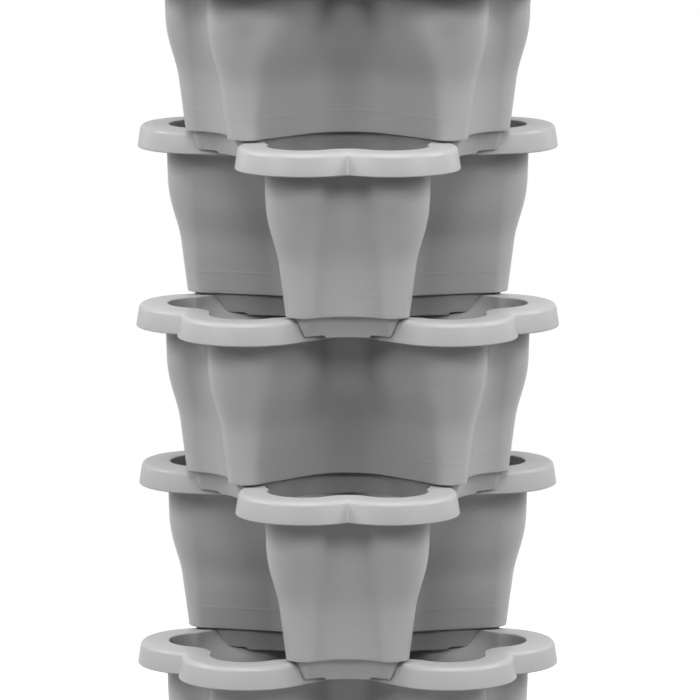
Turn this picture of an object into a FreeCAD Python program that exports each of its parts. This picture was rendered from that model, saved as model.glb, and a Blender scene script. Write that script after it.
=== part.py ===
"""Vertical planter tower: trefoil pots stacked crosswise on a drip saucer.

Millimetres, +Z up, origin on the tower axis at the level that the saucer stands on.
Every outline is the same trefoil, set out by a reach from fixed lobe centres, so
walls, flanges, skirts and clearances are all parallel offsets of one another.
"""
import FreeCAD, Part
import math
import os

# Stack: each pot is turned by half a petal against the one below
TIERS = 5
STACK_PITCH = 128.3
FRONT = -90.0

# Trefoil plan: two lobes to a petal with a notch between them, a valley between petals
PETALS = 3
LOBE_OUT = 105.0
LOBE_ASIDE = 32.0
THROAT = 26.8
NOTCH_CREASE = 1.6
VALLEY_CREASE = 3.0

# Pot wall: reach at drops below the flange top, easing in from shoulder to waist
WALL = 2.2
FLOOR = 2.4
TOP_REACH = 29.4
SHOULDER_REACH = 28.3
SHOULDER_DROP = 38.0
WAIST_REACH = 18.4
WAIST_DROP = 88.0
FOOT_REACH = 13.4
EASE_STEPS = 3

# Flange and lip round the opening
OPENING_REACH = 30.8
OPENING_EASE = 3.4
FLANGE_REACH = 46.0
FLANGE_EDGE = 2.8
LIP_FLARE = 2.2
LIP_DROP = 17.0

# Base skirt that drops over the flange of the pot below
SKIRT_REACH = 8.7
SKIRT_TIP_REACH = 4.3
SKIRT_HEIGHT = 14.9
NEST_GAP = 1.2

# Drain seat in the pot floor and the lift-out grid in it
GRID_RADIUS = 25.0
GRID_THICK = 2.4
GRID_FIT = 0.4
SEAT_WALL = 2.0
LEDGE_WIDTH = 3.5
LEDGE_THICK = 1.8
SLOTS = 9
SLOT_WIDTH = 3.0
SLOT_START = 8.0
SLOT_END = 19.0
KNOB_RADIUS = 4.0
KNOB_HEIGHT = 7.0

# Drip saucer
SAUCER_REACH = 23.0
SAUCER_LEAN = 5.0
SAUCER_HEIGHT = 24.0
SAUCER_WALL = 2.4
SAUCER_FLOOR = 2.5

# Heights closer than this are one level
LEVEL = 0.001

# Worked out from the sizes above
HALF_PETAL = 180.0 / PETALS
LIP_ROOT = FLANGE_REACH + FLANGE_EDGE
LIP_REACH = LIP_ROOT + LIP_FLARE
NOTCH_SPAN = LIP_REACH + NOTCH_CREASE
VALLEY_SPAN = LIP_REACH + VALLEY_CREASE
FIRST_FLANGE = SAUCER_FLOOR + SKIRT_HEIGHT + STACK_PITCH


def plan(angle, length):
    """Level vector of a length at an angle in degrees from +X."""
    turn = math.radians(angle)
    return FreeCAD.Vector(math.cos(turn) * length, math.sin(turn) * length, 0)


def bearing(vector):
    """Angle of a level vector in degrees from +X."""
    return math.degrees(math.atan2(vector.y, vector.x))


def petal_arcs(axis):
    """Arcs of one petal and the valley after it: centre, span, start angle and sweep.

    A lobe has no span and its radius is the reach; a hollow's radius is its span less the reach.
    """
    lobe = FreeCAD.Vector(LOBE_OUT, LOBE_ASIDE, 0)
    notch = FreeCAD.Vector(LOBE_OUT + math.sqrt(NOTCH_SPAN ** 2 - LOBE_ASIDE ** 2), 0, 0)
    valley = plan(HALF_PETAL, THROAT + VALLEY_SPAN)
    crease = bearing(notch - lobe)
    flank = bearing(valley - lobe) - math.degrees(math.acos(VALLEY_SPAN / (valley - lobe).Length))
    mirrored = FreeCAD.Vector(LOBE_OUT, -LOBE_ASIDE, 0)
    local = [
        (mirrored, 0, -flank, flank - crease),
        (notch, NOTCH_SPAN, 180 - crease, 2 * crease),
        (lobe, 0, crease, flank - crease),
        (valley, VALLEY_SPAN, flank + 180, 2 * (HALF_PETAL - flank)),
    ]
    return [(plan(bearing(c) + axis, c.Length), span, start + axis, sweep) for c, span, start, sweep in local]


def outline_arcs():
    """Every arc of the trefoil in order, the first petal to the front."""
    return [arc for petal in range(PETALS) for arc in petal_arcs(FRONT + petal * 2 * HALF_PETAL)]


def arc_points(arc, reach, height):
    """Start, middle and end of an arc of the outline at a reach and height."""
    centre, span, start, sweep = arc
    radius = abs(span - reach)
    up = FreeCAD.Vector(0, 0, height)
    return [centre + plan(start + sweep * share, radius) + up for share in (0, 0.5, 1)]


def outline(reach, height):
    """Closed trefoil wire, its lobes and hollows as arcs and its flanks as lines."""
    points = [arc_points(arc, reach, height) for arc in outline_arcs()]
    edges = []
    for here, after in zip(points, points[1:] + points[:1]):
        edges.append(Part.Arc(*here).toShape())
        if here[2].distanceToPoint(after[0]) > LEVEL:
            edges.append(Part.LineSegment(here[2], after[0]).toShape())
    return Part.Wire(edges)


def level_ring(reach, other, height):
    """Flat face between two outlines at one height."""
    return Part.Face(outline(max(reach, other), height)).cut(Part.Face(outline(min(reach, other), height)))


def band(lower, upper):
    """Faces of the wall between two (reach, height) points: cones round the arcs, flat flanks."""
    if abs(lower[1] - upper[1]) < LEVEL:
        return level_ring(lower[0], upper[0], lower[1]).Faces
    arcs = outline_arcs()
    faces = []
    for arc, after in zip(arcs, arcs[1:] + arcs[:1]):
        centre, span, start, sweep = arc
        low = arc_points(arc, *lower)
        high = arc_points(arc, *upper)
        side = Part.LineSegment(low[0], high[0]).toShape()
        faces.append(side.revolve(centre, FreeCAD.Vector(0, 0, math.copysign(1, sweep)), abs(sweep)))
        low_next = arc_points(after, *lower)[0]
        high_next = arc_points(after, *upper)[0]
        if low[2].distanceToPoint(low_next) > LEVEL:
            faces.append(Part.Face(Part.makePolygon([low[2], low_next, high_next, high[2], low[2]])))
    return faces


def moulding(profile):
    """Solid whose wall follows a profile of (reach, height) points, closed level at both ends."""
    faces = [Part.Face(outline(*profile[0])), Part.Face(outline(*profile[-1]))]
    for lower, upper in zip(profile, profile[1:]):
        faces += band(lower, upper)
    shell = Part.makeShell(faces)
    shell.sewShape()
    solid = Part.Solid(Part.Shell(shell.Faces))
    if solid.Volume < 0:
        solid.reverse()
    return solid


def disc(radius, bottom, top):
    """Upright cylinder on the tower axis between two heights."""
    return Part.makeCylinder(radius, top - bottom, FreeCAD.Vector(0, 0, bottom))


def drain_heights():
    """Bottom, seat and top of the drain, from the flange top."""
    top = FLOOR - STACK_PITCH
    seat = top - GRID_THICK
    return seat - LEDGE_THICK, seat, top


def wall_line(inset, foot, top):
    """Points of the pot wall from foot to top, set in from its outer face."""
    points = [(FOOT_REACH - inset, -foot)]
    for step in range(EASE_STEPS + 1):
        share = step / EASE_STEPS
        swell = (1 - math.cos(math.pi * share)) / 2
        reach = WAIST_REACH + (SHOULDER_REACH - WAIST_REACH) * swell
        drop = WAIST_DROP + (SHOULDER_DROP - WAIST_DROP) * share
        points.append((reach - inset, -drop))
    return points + [(TOP_REACH - inset, -top)]


def pot():
    """One moulded pot, its flange top at height zero and a petal to the front."""
    skirt_tip = STACK_PITCH + SKIRT_HEIGHT
    skirt = [
        (SKIRT_REACH - WALL, -STACK_PITCH),
        (SKIRT_TIP_REACH - WALL, -skirt_tip),
        (SKIRT_TIP_REACH, -skirt_tip),
        (SKIRT_REACH, -STACK_PITCH),
    ]
    flange = [
        (LIP_ROOT - WALL, -WALL),
        (LIP_REACH - WALL, -LIP_DROP),
        (LIP_REACH, -LIP_DROP),
        (LIP_ROOT, -FLANGE_EDGE),
        (FLANGE_REACH, 0),
        (OPENING_REACH, 0),
    ]
    outside = wall_line(0, STACK_PITCH, WALL)
    inside = wall_line(WALL, STACK_PITCH - FLOOR, OPENING_EASE)
    profile = skirt + outside + flange + inside[::-1]
    shell = moulding(profile).cut(flange_below())
    bottom, seat, top = drain_heights()
    seat_radius = GRID_RADIUS + GRID_FIT
    shell = shell.fuse(disc(seat_radius + SEAT_WALL, bottom, top))
    shell = shell.cut(disc(seat_radius, seat, top + GRID_THICK))
    shell = shell.cut(disc(GRID_RADIUS - LEDGE_WIDTH, bottom, seat))
    return shell.removeSplitter()


def flange_below():
    """Room in the skirt for the flange and wall of the pot below, which is turned crosswise."""
    top = -STACK_PITCH
    bottom = top - SKIRT_HEIGHT
    outer = moulding([(LIP_REACH + NEST_GAP, bottom), (LIP_REACH + NEST_GAP, top)])
    inner = moulding([(TOP_REACH - WALL - NEST_GAP, bottom), (TOP_REACH - WALL - NEST_GAP, top)])
    return turned(outer.cut(inner), HALF_PETAL, 0)


def grid():
    """Slotted drain disc with a knob to lift it by, at its place in a pot."""
    bottom, seat, top = drain_heights()
    plate = disc(GRID_RADIUS, seat, seat + GRID_THICK).fuse(disc(KNOB_RADIUS, seat, top + KNOB_HEIGHT))
    for index in range(SLOTS):
        start = FreeCAD.Vector(SLOT_START, -SLOT_WIDTH / 2, seat)
        slot = Part.makeBox(SLOT_END - SLOT_START, SLOT_WIDTH, GRID_THICK, start)
        plate = plate.cut(turned(slot, FRONT + index * 360.0 / SLOTS, 0))
    return plate


def saucer():
    """Tray with a leaning wall, under the bottom pot and with its petals."""
    profile = [
        (SAUCER_REACH, 0),
        (SAUCER_REACH + SAUCER_LEAN, SAUCER_HEIGHT),
        (SAUCER_REACH + SAUCER_LEAN - SAUCER_WALL, SAUCER_HEIGHT),
        (SAUCER_REACH - SAUCER_WALL, SAUCER_FLOOR),
    ]
    return moulding(profile)


def turned(shape, angle, lift):
    """Copy of a shape turned about the tower axis and lifted."""
    copy = shape.copy()
    copy.rotate(FreeCAD.Vector(0, 0, 0), FreeCAD.Vector(0, 0, 1), angle)
    copy.translate(FreeCAD.Vector(0, 0, lift))
    return copy


def save(name, shape):
    """Write one sub-part and print what it is."""
    shape.exportStep(os.path.join("parts", name + ".step"))
    print(name, "solids", len(shape.Solids), "valid", shape.isValid(), "volume", round(shape.Volume))


os.makedirs("parts", exist_ok=True)
one_pot = pot()
one_grid = grid()
save("drip_saucer", turned(saucer(), HALF_PETAL, 0))
for tier in range(TIERS):
    flange_top = FIRST_FLANGE + tier * STACK_PITCH
    turn = HALF_PETAL * (tier + 1)
    save("pot_%d" % (tier + 1), turned(one_pot, turn, flange_top))
    save("drain_grid_%d" % (tier + 1), turned(one_grid, turn, flange_top))
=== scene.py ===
"""Vertical planter tower of moulded trefoil pots, dressed for a studio picture."""
import math
import bmesh
import bpy
import numpy as np
from mathutils import Matrix, Vector


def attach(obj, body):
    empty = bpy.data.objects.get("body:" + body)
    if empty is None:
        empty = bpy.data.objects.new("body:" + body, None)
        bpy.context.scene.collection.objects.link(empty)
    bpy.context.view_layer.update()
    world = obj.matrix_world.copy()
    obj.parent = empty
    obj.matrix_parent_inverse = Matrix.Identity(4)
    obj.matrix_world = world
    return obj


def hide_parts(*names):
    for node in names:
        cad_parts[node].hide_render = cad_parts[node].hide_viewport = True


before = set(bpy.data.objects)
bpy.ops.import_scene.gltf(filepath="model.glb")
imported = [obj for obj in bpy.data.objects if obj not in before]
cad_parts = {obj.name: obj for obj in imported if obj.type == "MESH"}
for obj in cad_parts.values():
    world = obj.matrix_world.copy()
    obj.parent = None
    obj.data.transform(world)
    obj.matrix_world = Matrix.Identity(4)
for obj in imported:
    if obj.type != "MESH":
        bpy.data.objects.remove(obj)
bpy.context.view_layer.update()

bpy.context.scene.view_settings.view_transform = "Standard"

# Pots: five like mouldings in grey polypropylene, each turned by half a petal against the
# one below. One wall line, from drain to skirt, body, flange and back down inside, is
# carried round a trefoil, so every wall is a parallel offset of the same outline.
MM = 0.001
TIERS = 5
PITCH = 128.3 * MM
FRONT = math.radians(-90)

# Plan: two lobes to a petal with a notch between them, and a valley between petals
PETALS = 3
HALF_PETAL = math.pi / PETALS
LOBE_OUT = 105.0 * MM
LOBE_ASIDE = 32.0 * MM
THROAT = 26.8 * MM
NOTCH_SPAN = 51.8 * MM
VALLEY_SPAN = 54.0 * MM

# Wall: its reach from the lobe centres at drops below the flange top
WALL = 2.2 * MM
FLOOR = 2.4 * MM
TOP_REACH = 29.4 * MM
SHOULDER_REACH = 28.3 * MM
SHOULDER_DROP = 40.0 * MM
WAIST_REACH = 18.4 * MM
WAIST_DROP = 88.0 * MM
FOOT_REACH = 13.5 * MM
STEP_RISE = 1.8 * MM

# Swell of the petals' flanks, full at the opening and gone down the wall
FLANK_SWELL = 9.0 * MM
SKIRT_SWELL = 0.3
SWELL_END = 42.0 * MM
SWELL_DROP = 30.0 * MM

# Seam that the mould leaves round the wall, with rows close by to keep its shading narrow
SEAM_DROP = 110.0 * MM
SEAM_HALF = 0.7 * MM
SEAM_RISE = 0.12 * MM
SEAM_ROWS_BELOW = np.array([18, 3, 2, 1])
SEAM_ROWS_ABOVE = np.array([1, 2, 3])
SEAM_CLEAR = 6 * SEAM_HALF

# Flange round the opening and the lip that hangs from it
FLANGE_REACH = 46.0 * MM
FLANGE_EDGE = 2.8 * MM
LIP_REACH = 51.0 * MM
LIP_DROP = 17.0 * MM

# Base skirt, cut away where the flange of the pot below passes and relieved beside that
SKIRT_REACH = 8.7 * MM
SKIRT_TIP = 4.3 * MM
SKIRT_HEIGHT = 14.9 * MM
NEST_GAP = 0.5 * MM
NOTCH_SLANT = 0.08
RELIEF_WIDTH = 16.0 * MM
RELIEF_HEIGHT = 2.0 * MM
FULL_SKIRT = 0.9

# Rounded edges, and the level strips of floor beside the walls
FOOT_ROUND = 0.6 * MM
OPENING_EASE = 1.0 * MM
SKIRT_ROUND = 0.8 * MM
TIP_ROUND = 0.7 * MM
STEP_ROUND = 0.5 * MM
NECK_ROUND = 1.5 * MM
LIP_TURN = 2.0 * MM
LIP_ROUND = 0.9 * MM
BROW_ROUND = 4.0 * MM
FLOOR_ROUND = 4.0 * MM
FLOOR_EDGE = 6.0 * MM
UNDER_EDGE = 3.0 * MM

# Stepped seat for the drain grid
SEAT_RADIUS = 25.4 * MM
SEAT_WALL = 2.0 * MM
LEDGE_RADIUS = 21.5 * MM
LEDGE_THICK = 1.8 * MM
GRID_THICK = 2.4 * MM

# How finely the pots are drawn, and how near and far a facing sample of the next one may be
POT_SPACING = 2.5 * MM
LEAST_ARC = 6
LEAST_FLANK = 3
ROUND_STEPS = 5
OUTER_ROWS = 26
OUTER_TOP = 5.0 * MM
INNER_ROWS = 24
INNER_TOP = 4.0 * MM
FLOOR_ROWS = 7
ROOM_LEVELS = 16
NEAR = 3.0 * MM
FAR = 1.3 * LIP_REACH
LEVEL = 0.01 * MM
SHARP = math.radians(32)
STRAIGHT = math.radians(88)


def circle(angle, radius):
    """Points at a radius and angle: (r cos a, r sin a)."""
    return np.stack([np.cos(angle) * radius, np.sin(angle) * radius], axis=-1)


def ease(share):
    """Half a cosine wave from 0 to 1: (1 - cos(pi t)) / 2, held level past both ends."""
    return (1 - np.cos(np.pi * np.clip(share, 0, 1))) / 2


def spun(points, angle):
    """Level points turned about the tower axis."""
    cos, sin = math.cos(angle), math.sin(angle)
    return points @ np.array([[cos, sin], [-sin, cos]])


def half_petal(step):
    """Samples from the middle of a petal's notch, round a lobe and along the flank, to the
    middle of the valley beside it: base points, normals and flank weights."""
    lobe = np.array([LOBE_OUT, LOBE_ASIDE])
    notch = np.array([LOBE_OUT + math.sqrt(NOTCH_SPAN ** 2 - LOBE_ASIDE ** 2), 0.0])
    valley = circle(np.array(HALF_PETAL), THROAT + VALLEY_SPAN)
    crease = math.atan2(*(notch - lobe)[::-1])
    gap = valley - lobe
    flank = math.atan2(gap[1], gap[0]) - math.acos(VALLEY_SPAN / np.hypot(*gap))
    runs = []
    for start, stop, centre, span in (
        (0.0, crease, notch, NOTCH_SPAN),
        (crease, flank, lobe, 0.0),
        (flank, HALF_PETAL, valley, VALLEY_SPAN),
    ):
        radius = span if span else LIP_REACH
        count = max(LEAST_ARC, round(abs(stop - start) * radius / step))
        normal = circle(np.linspace(start, stop, count + 1), 1.0)
        runs.append((centre - span * normal, normal, np.zeros(count + 1)))
    hip, toe = runs[1][0][-1], runs[2][0][0]
    count = max(LEAST_FLANK, round(np.hypot(*(toe - hip)) / step))
    share = np.linspace(0, 1, count + 1)[:, None]
    straight = np.repeat(runs[1][1][-1:], count + 1, axis=0)
    runs.insert(2, (hip + (toe - hip) * share, straight, np.sin(np.pi * share[:, 0])))
    kept = [[part[:-1] for part in run] for run in runs[:-1]] + [runs[-1]]
    return [np.concatenate(parts) for parts in zip(*kept)]


def trefoil(step):
    """Base points B, outward normals N and flank weights F of the plan.

    A wall lies at B + reach * N. Round a lobe B stays at its centre. In a hollow B is its
    centre less span * N, and along a flank B runs straight while N holds still. F is half a
    sine wave along a flank, sin(pi t), and 0 elsewhere.
    """
    base, normal, weight = half_petal(step)
    mirror = np.array([1.0, -1.0])
    base = np.concatenate([base[-2:0:-1] * mirror, base])
    normal = np.concatenate([normal[-2:0:-1] * mirror, normal])
    weight = np.concatenate([weight[-2:0:-1], weight])
    turns = [FRONT + 2 * HALF_PETAL * petal for petal in range(PETALS)]
    whole_base = np.concatenate([spun(base, turn) for turn in turns])
    whole_normal = np.concatenate([spun(normal, turn) for turn in turns])
    return whole_base, whole_normal, np.tile(weight, PETALS)


def rounded(corners, steps):
    """Profile with its corners eased: each (reach, height, radius) becomes an arc that is
    tangent to both sides, p(a) = centre + radius * (cos a, sin a). A corner with no radius, or
    one that hardly bends, stays as it is."""
    points = [np.array(corner[:2]) for corner in corners]
    result = [points[0]]
    for before, here, after, corner in zip(points, points[1:], points[2:], corners[1:]):
        radius = corner[2]
        back, ahead = before - here, after - here
        back, ahead = back / np.hypot(*back), ahead / np.hypot(*ahead)
        half = math.acos(np.clip(back @ ahead, -1, 1)) / 2
        if radius <= 0 or half > STRAIGHT:
            result.append(here)
            continue
        bisector = (back + ahead) / np.hypot(*(back + ahead))
        centre = here + bisector * radius / math.sin(half)
        first = here + back * radius / math.tan(half) - centre
        last = here + ahead * radius / math.tan(half) - centre
        share = np.linspace(0, 1, steps + 1)[:, None]
        blend = first * (1 - share) + last * share
        result.extend(centre + blend / np.hypot(*blend.T)[:, None] * radius)
    result.append(points[-1])
    return np.array(result)


def wall_line(inset, drops):
    """Pot wall set in from its outer face: a straight lean above the shoulder and one below the
    waist, reach = lower + (upper - lower) * ease(t), with t from waist to shoulder."""
    foot = PITCH - STEP_RISE
    upper = TOP_REACH + (SHOULDER_REACH - TOP_REACH) * (drops - WALL) / (SHOULDER_DROP - WALL)
    lower = FOOT_REACH + (WAIST_REACH - FOOT_REACH) * (foot - drops) / (foot - WAIST_DROP)
    blend = ease((WAIST_DROP - drops) / (WAIST_DROP - SHOULDER_DROP))
    reach = lower + (upper - lower) * blend - inset
    return [(r, d, 0) for r, d in zip(reach, drops)]


def swell(reach, drop):
    """Share of the flank swell at a point of the profile: full at the opening, eased out across
    the flange and down the wall, and a part of it in the skirt."""
    skirt = SKIRT_SWELL * np.clip((FOOT_REACH - reach) / (FOOT_REACH - SKIRT_REACH), 0, 1)
    wall = ease((SWELL_DROP - drop) / SWELL_DROP)
    flange = ease((SWELL_END - reach) / (SWELL_END - TOP_REACH))
    return np.where(drop > PITCH - STEP_RISE - LEVEL, skirt, wall * flange)


def skirt_reach(drop):
    """Reach of the skirt's outer face at a drop: a straight lean from the step to its tip."""
    share = (drop - PITCH + STEP_RISE) / (SKIRT_HEIGHT + STEP_RISE)
    return SKIRT_REACH + (SKIRT_TIP - SKIRT_REACH) * share


def skirt_room(base, normal, weight):
    """How deep the skirt may hang at each sample before it meets the flange of the pot below.

    The pot below is the same trefoil turned half a petal. Of its samples, the one whose normal
    points straight at a plan point gives that point's reach over the pot below. Beside each
    stretch that is cut away for the flange, the skirt's tip is a little shorter.
    """
    levels = np.linspace(0, 1, ROOM_LEVELS)
    room = np.zeros(len(base))
    open_so_far = np.ones(len(base), dtype=bool)
    for level in levels:
        drop = SKIRT_HEIGHT * level
        middle = skirt_reach(PITCH + drop) - WALL / 2 + SKIRT_SWELL * FLANK_SWELL * weight
        plan = base + normal * middle[:, None]
        gap = plan[:, None, :] + base[None, :, :]
        along = -(gap * normal[None]).sum(axis=2)
        aside = np.abs(gap[..., 0] * normal[None, :, 1] - gap[..., 1] * normal[None, :, 0])
        aside = np.where((along > 0) & (along < FAR), aside, 1.0)
        pick = aside.argmin(axis=1)
        over = along[np.arange(len(plan)), pick]
        lip_reaches = [FLANGE_REACH, FLANGE_REACH + FLANGE_EDGE, LIP_REACH]
        lip = np.interp(drop, [0, FLANGE_EDGE, LIP_DROP], lip_reaches)
        near = aside.min(axis=1) < NEAR
        opening = TOP_REACH - WALL + FLANK_SWELL * weight[pick] - NEST_GAP - NOTCH_SLANT * drop
        blocked = near & (over > opening) & (over < lip + NEST_GAP)
        open_so_far &= ~blocked
        room = np.where(open_so_far, drop, room)
    walk = np.hypot(*(np.roll(plan, -1, axis=0) - plan).T)
    place = np.concatenate([[0], np.cumsum(walk)[:-1]])
    shut = place[room < FULL_SKIRT * SKIRT_HEIGHT]
    around = np.abs(place[:, None] - shut[None])
    around = np.minimum(around, walk.sum() - around).min(axis=1)
    relief = np.where(around < RELIEF_WIDTH, SKIRT_HEIGHT - RELIEF_HEIGHT, SKIRT_HEIGHT)
    return np.minimum(room, relief) / SKIRT_HEIGHT


def closed_surface(name, grid, wrap_rows):
    """Mesh of a (rows, samples, 3) grid, its samples closed into rings and its rows too if asked."""
    rows, samples = grid.shape[:2]
    index = np.arange(rows * samples).reshape(rows, samples)
    here = index if wrap_rows else index[:-1]
    above = np.roll(index, -1, axis=0) if wrap_rows else index[1:]
    quads = np.stack([here, np.roll(here, -1, axis=1), np.roll(above, -1, axis=1), above], axis=-1)
    quads = quads.reshape(-1, 4)
    mesh = bpy.data.meshes.new(name)
    mesh.vertices.add(rows * samples)
    mesh.vertices.foreach_set("co", grid.reshape(-1).astype(np.float32))
    mesh.loops.add(quads.size)
    mesh.loops.foreach_set("vertex_index", quads.reshape(-1).astype(np.int32))
    mesh.polygons.add(len(quads))
    mesh.polygons.foreach_set("loop_start", np.arange(0, quads.size, 4, dtype=np.int32))
    mesh.polygons.foreach_set("use_smooth", np.ones(len(quads), dtype=bool))
    mesh.update(calc_edges=True)
    mesh.set_sharp_from_angle(angle=SHARP)
    return mesh


def pot_profile():
    """Profile of the pot as (reach, drop) rows: skirt, foot, wall, flange and inner wall."""
    lip_lean = (LIP_REACH - FLANGE_REACH - FLANGE_EDGE) / (LIP_DROP - FLANGE_EDGE)
    lip_root = FLANGE_REACH + FLANGE_EDGE - lip_lean * FLANGE_EDGE
    foot = PITCH - STEP_RISE
    skirt_tip = PITCH + SKIRT_HEIGHT
    corners = [
        (SKIRT_REACH - WALL - UNDER_EDGE, PITCH, 0),
        (skirt_reach(PITCH) - WALL, PITCH, SKIRT_ROUND),
        (SKIRT_TIP - WALL, skirt_tip, TIP_ROUND),
        (SKIRT_TIP, skirt_tip, TIP_ROUND),
        (skirt_reach(PITCH), PITCH, 0),
        (SKIRT_REACH, foot, STEP_ROUND),
        (FOOT_REACH, foot, FOOT_ROUND),
    ]
    corners += wall_line(0, SEAM_DROP + SEAM_HALF * SEAM_ROWS_BELOW)
    corners += wall_line(-SEAM_RISE, np.array([SEAM_DROP]))
    corners += wall_line(0, SEAM_DROP - SEAM_HALF * SEAM_ROWS_ABOVE)
    corners += wall_line(0, np.linspace(SEAM_DROP - SEAM_CLEAR, OUTER_TOP, OUTER_ROWS))
    corners += [
        (TOP_REACH, WALL, NECK_ROUND),
        (lip_root - WALL, WALL, LIP_TURN),
        (LIP_REACH - WALL, LIP_DROP, LIP_ROUND),
        (LIP_REACH, LIP_DROP, LIP_ROUND),
        (lip_root, 0, BROW_ROUND),
        (TOP_REACH - WALL, 0, OPENING_EASE),
    ]
    corners += wall_line(WALL, np.linspace(INNER_TOP, PITCH - FLOOR - FLOOR_EDGE, INNER_ROWS))
    corners += [
        (FOOT_REACH - WALL, PITCH - FLOOR, FLOOR_ROUND),
        (FOOT_REACH - WALL - FLOOR_EDGE, PITCH - FLOOR, 0),
    ]
    return rounded(corners, ROUND_STEPS)


def floor_rows(edge, radius, height):
    """Rows of a level floor from a wall row in to a circle:
    P = (1 - t) * outline + t * radius * (cos a, sin a)."""
    bearing = np.arctan2(edge[:, 1], edge[:, 0])
    share = np.linspace(0, 1, FLOOR_ROWS + 1)[1:, None, None]
    level = edge[None, :, :2] * (1 - share) + circle(bearing, radius)[None] * share
    return np.concatenate([level, np.full(level.shape[:2] + (1,), height)], axis=-1)


def pot_grid():
    """Grid of one pot, its flange top at height zero: wall rows at B + reach * N of the trefoil,
    floor rows, and rings round the drain's stepped seat."""
    base, normal, weight = trefoil(POT_SPACING)
    profile = pot_profile()
    room = skirt_room(base, normal, weight)
    reach, drop = profile[:, :1], profile[:, 1:]
    hanging = np.maximum(drop - PITCH, 0)
    new_drop = np.where(hanging > 0, PITCH + hanging * room[None], drop)
    new_reach = np.where(hanging > 0, reach + skirt_reach(new_drop) - skirt_reach(drop), reach)
    walls = np.empty((len(profile), len(base), 3))
    new_reach = new_reach + FLANK_SWELL * swell(reach, drop) * weight[None]
    walls[..., :2] = base[None] + normal[None] * new_reach[..., None]
    walls[..., 2] = -new_drop

    seat = FLOOR - PITCH - GRID_THICK
    rim = floor_rows(walls[-1], SEAT_RADIUS, FLOOR - PITCH)
    under = floor_rows(walls[0], SEAT_RADIUS + SEAT_WALL, -PITCH)[::-1]
    bearing = np.arctan2(walls[-1, :, 1], walls[-1, :, 0])
    drain = []
    for radius, height in (
        (SEAT_RADIUS, seat),
        (LEDGE_RADIUS, seat),
        (LEDGE_RADIUS, seat - LEDGE_THICK),
        (SEAT_RADIUS + SEAT_WALL, seat - LEDGE_THICK),
    ):
        ring = circle(bearing, radius)
        drain.append(np.concatenate([ring, np.full((len(ring), 1), height)], axis=1)[None])
    return np.concatenate([walls, rim] + drain + [under])


def turned(grid, angle, lift):
    """Copy of a grid turned about the tower axis and lifted."""
    cos, sin = math.cos(angle), math.sin(angle)
    x, y, z = grid[..., 0], grid[..., 1], grid[..., 2]
    return np.stack([x * cos - y * sin, x * sin + y * cos, z + lift], axis=-1)


def add_piece(name, mesh, material, body, nodes):
    """Object for a finished mesh, with its finish, its body and the nodes it stands for."""
    piece = bpy.data.objects.new(name, mesh)
    bpy.context.scene.collection.objects.link(piece)
    mesh.materials.append(material)
    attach(piece, body)
    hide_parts(*nodes)


POT_GREY = (0.39, 0.39, 0.39)
CLOUD_SHADE = 0.965


def plastic(name, colour, roughness, seed):
    """Moulded plastic: a faintly cloudy colour and a fine grain in its bump."""
    material = bpy.data.materials.new(name)
    material.use_nodes = True
    nodes, links = material.node_tree.nodes, material.node_tree.links
    shader = nodes["Principled BSDF"]
    place = nodes.new("ShaderNodeTexCoord")
    cloud = nodes.new("ShaderNodeTexNoise")
    cloud.noise_dimensions = "4D"
    cloud.inputs["W"].default_value = seed
    cloud.inputs["Scale"].default_value = 14
    cloud.inputs["Detail"].default_value = 3
    tint = nodes.new("ShaderNodeMix")
    tint.data_type = "RGBA"
    tint.inputs["A"].default_value = (*[c * CLOUD_SHADE for c in colour], 1)
    tint.inputs["B"].default_value = (*colour, 1)
    grain = nodes.new("ShaderNodeTexNoise")
    grain.inputs["Scale"].default_value = 1600
    grain.inputs["Detail"].default_value = 2
    bump = nodes.new("ShaderNodeBump")
    bump.inputs["Strength"].default_value = 0.12
    bump.inputs["Distance"].default_value = 0.0002
    links.new(place.outputs["Object"], cloud.inputs["Vector"])
    links.new(place.outputs["Object"], grain.inputs["Vector"])
    links.new(cloud.outputs["Fac"], tint.inputs["Factor"])
    links.new(tint.outputs["Result"], shader.inputs["Base Color"])
    links.new(grain.outputs["Fac"], bump.inputs["Height"])
    links.new(bump.outputs["Normal"], shader.inputs["Normal"])
    shader.inputs["Roughness"].default_value = roughness
    shader.inputs["Specular IOR Level"].default_value = 0.4
    return material


SAUCER_FLOOR = 2.5 * MM
FIRST_FLANGE = SAUCER_FLOOR + SKIRT_HEIGHT + PITCH
pot_plastic = plastic("pot_plastic", POT_GREY, 0.40, 1.0)
one_pot = pot_grid()
for tier in range(TIERS):
    node = f"pot_{tier + 1}"
    placed = turned(one_pot, HALF_PETAL * (tier + 1), FIRST_FLANGE + PITCH * tier)
    mesh = closed_surface(node, placed, True)
    add_piece(f"{node}_shell", mesh, pot_plastic, node, [node])


# Drain grids: slotted discs of plain grey plastic that drop into the seat of each pot floor,
# with a domed knob to lift them by. The mould eases their edges and rounds the slot ends.
GRID_RADIUS = 25.0 * MM
SLOTS = 9
SLOT_WIDTH = 3.0 * MM
SLOT_START = 8.0 * MM
SLOT_END = 19.0 * MM
SLOT_STEPS = 8
GRID_SIDES = 96
GRID_EASE = 0.35 * MM
KNOB_RADIUS = 4.0 * MM
KNOB_HEIGHT = 7.0 * MM
KNOB_SINK = 0.3 * MM
KNOB_SIDES = 40
DOME_STEPS = 6
KNOB_FOOT = 0.95 * KNOB_RADIUS
KNOB_NECK = 0.72 * KNOB_RADIUS
KNOB_BRIM = 0.98 * KNOB_RADIUS
KNOB_DOME = 0.55 * KNOB_RADIUS
KNOB_TIP = 0.02 * MM
NECK_RISE = 1.2 * MM
NECK_END = 1.6 * MM
BRIM_EDGE = 0.6 * MM
GRID_GREY = (0.42, 0.42, 0.42)


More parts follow.
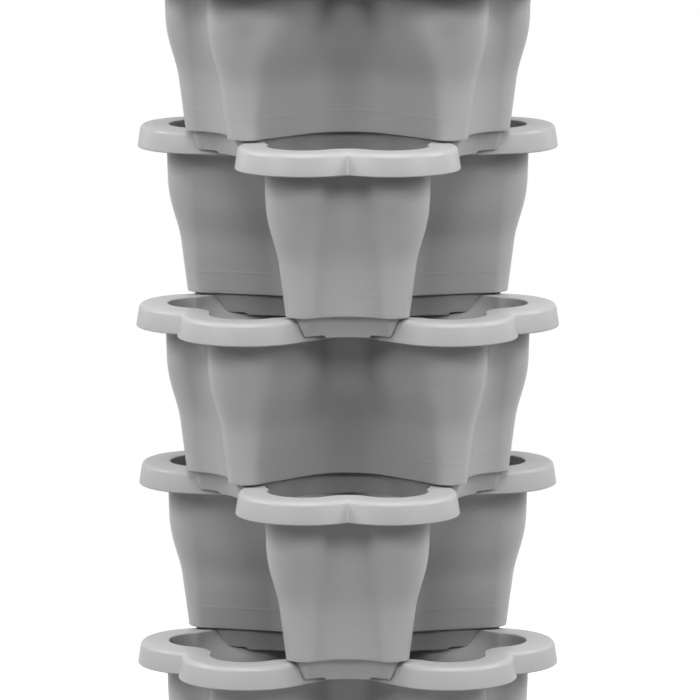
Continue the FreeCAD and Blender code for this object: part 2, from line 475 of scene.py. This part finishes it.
def ring_spline(curve, points):
    """Closed straight-sided spline through level points."""
    spline = curve.splines.new("POLY")
    spline.points.add(len(points) - 1)
    flat = np.zeros((len(points), 4))
    flat[:, :2] = points
    flat[:, 3] = 1
    spline.points.foreach_set("co", flat.reshape(-1))
    spline.use_cyclic_u = True


def slotted_disc():
    """Plate with radial slots: a slot is a stadium, two lines joined by half circles."""
    curve = bpy.data.curves.new("grid_plate", "CURVE")
    curve.dimensions = "2D"
    curve.fill_mode = "BOTH"
    curve.extrude = GRID_THICK / 2 - GRID_EASE
    curve.bevel_depth = GRID_EASE
    curve.bevel_resolution = 2
    curve.offset = -GRID_EASE
    ring_spline(curve, circle(np.linspace(0, 2 * math.pi, GRID_SIDES + 1)[:-1], GRID_RADIUS))
    turn = np.linspace(-math.pi / 2, math.pi / 2, SLOT_STEPS + 1)
    half = SLOT_WIDTH / 2
    far = circle(turn, half) + [SLOT_END - half, 0]
    near = circle(turn + math.pi, half) + [SLOT_START + half, 0]
    slot = np.concatenate([far, near])
    for index in range(SLOTS):
        ring_spline(curve, spun(slot, FRONT + index * 2 * math.pi / SLOTS))
    holder = bpy.data.objects.new("grid_plate", curve)
    bpy.context.scene.collection.objects.link(holder)
    mesh = bpy.data.meshes.new_from_object(holder)
    bpy.data.objects.remove(holder)
    return mesh


def knob(bottom, top):
    """Rows of a waisted knob with a domed head, turned about the axis: each row lies at
    (r cos a, r sin a, z), and the dome is a quarter ellipse."""
    head = top - KNOB_DOME
    dome = np.linspace(0, math.pi / 2, DOME_STEPS + 1)[:-1]
    profile = [
        (KNOB_FOOT, bottom),
        (KNOB_NECK, bottom + NECK_RISE),
        (KNOB_NECK, head - NECK_END),
        (KNOB_BRIM, head - BRIM_EDGE),
    ]
    profile += [(KNOB_RADIUS * math.cos(a), head + (top - head) * math.sin(a)) for a in dome]
    profile += [(KNOB_TIP, top)]
    around = np.linspace(0, 2 * math.pi, KNOB_SIDES + 1)[:-1]
    rows = []
    for radius, height in profile:
        rows.append(np.concatenate([circle(around, radius), np.full((KNOB_SIDES, 1), height)], axis=1))
    return np.array(rows)


grid_plastic = plastic("grid_plastic", GRID_GREY, 0.45, 2.0)
plate = slotted_disc()
for tier in range(TIERS):
    node = f"drain_grid_{tier + 1}"
    lift = FIRST_FLANGE + PITCH * tier - PITCH + FLOOR
    turn = HALF_PETAL * (tier + 1)
    work = bmesh.new()
    work.from_mesh(plate)
    spin = Matrix.Rotation(turn, 4, "Z")
    spin.translation = (0, 0, lift - GRID_THICK / 2)
    work.transform(spin)
    stem = closed_surface("grid_knob", knob(lift - KNOB_SINK, lift + KNOB_HEIGHT), False)
    work.from_mesh(stem)
    bpy.data.meshes.remove(stem)
    mesh = bpy.data.meshes.new(node)
    work.to_mesh(mesh)
    work.free()
    mesh.polygons.foreach_set("use_smooth", np.ones(len(mesh.polygons), dtype=bool))
    mesh.set_sharp_from_angle(angle=SHARP)
    add_piece(f"{node}_plate", mesh, grid_plastic, node, [node])


# Drip saucer: a shallow tray in the pots' grey plastic, with the bottom pot's petals, a
# leaning wall, a rounded rim and a low ridge round its floor that the pot stands inside.
SAUCER_REACH = 23.0 * MM
SAUCER_LEAN = 5.0 * MM
SAUCER_HEIGHT = 24.0 * MM
SAUCER_WALL = 2.4 * MM
SAUCER_SPACING = 2.6 * MM
SAUCER_ROWS = 8
SAUCER_DRAWN_IN = 0.9999
SAUCER_EDGE = 6.0 * MM
SAUCER_FOOT_ROUND = 2.2 * MM
SAUCER_RIM_ROUND = 1.1 * MM
SAUCER_INNER_ROUND = 3.0 * MM
RIDGE_REACH = SAUCER_REACH - 9.0 * MM
RIDGE_HEIGHT = 0.9 * MM
RIDGE_HALF_TOP = 0.8 * MM
RIDGE_HALF_FOOT = 1.6 * MM
RIDGE_TOP_ROUND = 0.4 * MM
RIDGE_FOOT_ROUND = 0.6 * MM
RIDGE_EDGE = 4.0 * MM


def saucer_grid():
    """Grid of the saucer: wall rows at B + reach * N, floor rows drawn in to the axis."""
    base, normal, _ = trefoil(SAUCER_SPACING)
    rim = SAUCER_REACH + SAUCER_LEAN
    crest = SAUCER_FLOOR + RIDGE_HEIGHT
    profile = rounded([
        (SAUCER_REACH - SAUCER_EDGE, 0, 0),
        (SAUCER_REACH, 0, SAUCER_FOOT_ROUND),
        (rim, SAUCER_HEIGHT, SAUCER_RIM_ROUND),
        (rim - SAUCER_WALL, SAUCER_HEIGHT, SAUCER_RIM_ROUND),
        (SAUCER_REACH - SAUCER_WALL, SAUCER_FLOOR, SAUCER_INNER_ROUND),
        (RIDGE_REACH + RIDGE_HALF_FOOT, SAUCER_FLOOR, RIDGE_FOOT_ROUND),
        (RIDGE_REACH + RIDGE_HALF_TOP, crest, RIDGE_TOP_ROUND),
        (RIDGE_REACH - RIDGE_HALF_TOP, crest, RIDGE_TOP_ROUND),
        (RIDGE_REACH - RIDGE_HALF_FOOT, SAUCER_FLOOR, RIDGE_FOOT_ROUND),
        (RIDGE_REACH - RIDGE_EDGE, SAUCER_FLOOR, 0),
    ], ROUND_STEPS)
    walls = np.empty((len(profile), len(base), 3))
    walls[..., :2] = base[None] + normal[None] * profile[:, 0, None, None]
    walls[..., 2] = profile[:, 1, None]

    def disc_rows(edge):
        """Rows of a level floor from a wall row in to the axis."""
        share = np.linspace(0, 1, SAUCER_ROWS + 1)[1:, None, None]
        level = edge[None, :, :2] * (1 - share * SAUCER_DRAWN_IN)
        height = np.full(level.shape[:2] + (1,), edge[0, 2])
        return np.concatenate([level, height], axis=-1)

    return np.concatenate([disc_rows(walls[0])[::-1], walls, disc_rows(walls[-1])])


saucer_plastic = plastic("saucer_plastic", POT_GREY, 0.45, 3.0)
mesh = closed_surface("drip_saucer", turned(saucer_grid(), HALF_PETAL, 0), True)
add_piece("drip_saucer_tray", mesh, saucer_plastic, "saucer", ["drip_saucer"])


# Floor: a plain matt sheet that shows white to the camera and keeps the tower's shadow. It
# sheds little light back, so the undersides of the flanges stay as dark as in the studio.
FLOOR_SIDE = 1.8
FLOOR_WHITE = 0.85

floor_mesh = bpy.data.meshes.new("studio_floor")
side = FLOOR_SIDE / 2
corners = [(-side, -side, 0), (side, -side, 0), (side, side, 0), (-side, side, 0)]
floor_mesh.from_pydata(corners, [], [(0, 1, 2, 3)])
floor = bpy.data.objects.new("studio_floor", floor_mesh)
bpy.context.scene.collection.objects.link(floor)
sheet = bpy.data.materials.new("floor_white")
sheet.use_nodes = True
nodes, links = sheet.node_tree.nodes, sheet.node_tree.links
paper = nodes["Principled BSDF"]
paper.inputs["Base Color"].default_value = (0.3, 0.3, 0.3, 1)
paper.inputs["Roughness"].default_value = 0.9
ray = nodes.new("ShaderNodeLightPath")
seen = nodes.new("ShaderNodeMath")
seen.operation = "MAXIMUM"
lift_white = nodes.new("ShaderNodeMath")
lift_white.operation = "MULTIPLY"
lift_white.inputs[1].default_value = FLOOR_WHITE
paper.inputs["Emission Color"].default_value = (1, 1, 1, 1)
links.new(ray.outputs["Is Camera Ray"], seen.inputs[0])
links.new(ray.outputs["Is Glossy Ray"], seen.inputs[1])
links.new(seen.outputs[0], lift_white.inputs[0])
links.new(lift_white.outputs[0], paper.inputs["Emission Strength"])
floor_mesh.materials.append(sheet)


# World: an even white backdrop that shows to the camera and in gloss, as the studio's
# walls would. It sheds no light of its own on the tower, so the soft boxes alone shape it.
world = bpy.data.worlds.new("studio")
bpy.context.scene.world = world
world.use_nodes = True
nodes, links = world.node_tree.nodes, world.node_tree.links
backdrop = nodes["Background"]
ray = nodes.new("ShaderNodeLightPath")
camera_ray = nodes.new("ShaderNodeMath")
camera_ray.operation = "MAXIMUM"
sight_ray = nodes.new("ShaderNodeMath")
sight_ray.operation = "MAXIMUM"
links.new(ray.outputs["Is Camera Ray"], camera_ray.inputs[0])
links.new(ray.outputs["Is Transmission Ray"], camera_ray.inputs[1])
links.new(ray.outputs["Is Glossy Ray"], sight_ray.inputs[0])
links.new(camera_ray.outputs[0], sight_ray.inputs[1])
links.new(sight_ray.outputs[0], backdrop.inputs["Strength"])
backdrop.inputs["Color"].default_value = (1, 1, 1, 1)


# Lights: soft boxes 3 m off, in front and high, at both quarters and at both sides, so the
# outer halves of the lobes catch a bright band. Weak ones behind lift the tower's edges.
AIM = Vector((0, 0, 0.36))
LAMP_DISTANCE = 3.0
LAMP_SIZE = 0.8


def softbox(name, bearing, climb, watts):
    """Area light at a bearing from the front and a climb, facing the tower."""
    away = LAMP_DISTANCE * math.cos(math.radians(climb))
    place = AIM + Vector((
        away * math.sin(math.radians(bearing)),
        -away * math.cos(math.radians(bearing)),
        LAMP_DISTANCE * math.sin(math.radians(climb)),
    ))
    lamp = bpy.data.lights.new(name, "AREA")
    lamp.size = LAMP_SIZE
    lamp.energy = watts
    holder = bpy.data.objects.new(name, lamp)
    bpy.context.scene.collection.objects.link(holder)
    holder.location = place
    holder.rotation_euler = (AIM - place).to_track_quat("-Z", "Y").to_euler()


softbox("front", 0, 35, 22)
softbox("front_high", 0, 60, 16)
for name, hand in (("left", -1), ("right", 1)):
    softbox(f"high_{name}", hand * 30, 60, 24)
    softbox(f"quarter_{name}", hand * 50, 25, 22)
    softbox(f"side_{name}", hand * 90, 35, 44)
    softbox(f"side_low_{name}", hand * 90, 8, 2)
    softbox(f"behind_{name}", hand * 120, 8, 6)


# Camera: long lens five metres in front and a little above, tilted down so that three of
# the five tiers fill the picture and the tower runs out of it above and below.
CAMERA_TILT = math.radians(9.09)

camera_data = bpy.data.cameras.new("camera")
camera_data.lens = 347.4
camera_data.sensor_width = 36
camera_data.clip_end = 50
camera = bpy.data.objects.new("camera", camera_data)
camera.location = (0.0017, -5.008, 1.1636)
camera.rotation_euler = (math.pi / 2 - CAMERA_TILT, 0, 0)
bpy.context.scene.collection.objects.link(camera)
bpy.context.scene.camera = camera

bpy.context.view_layer.update()
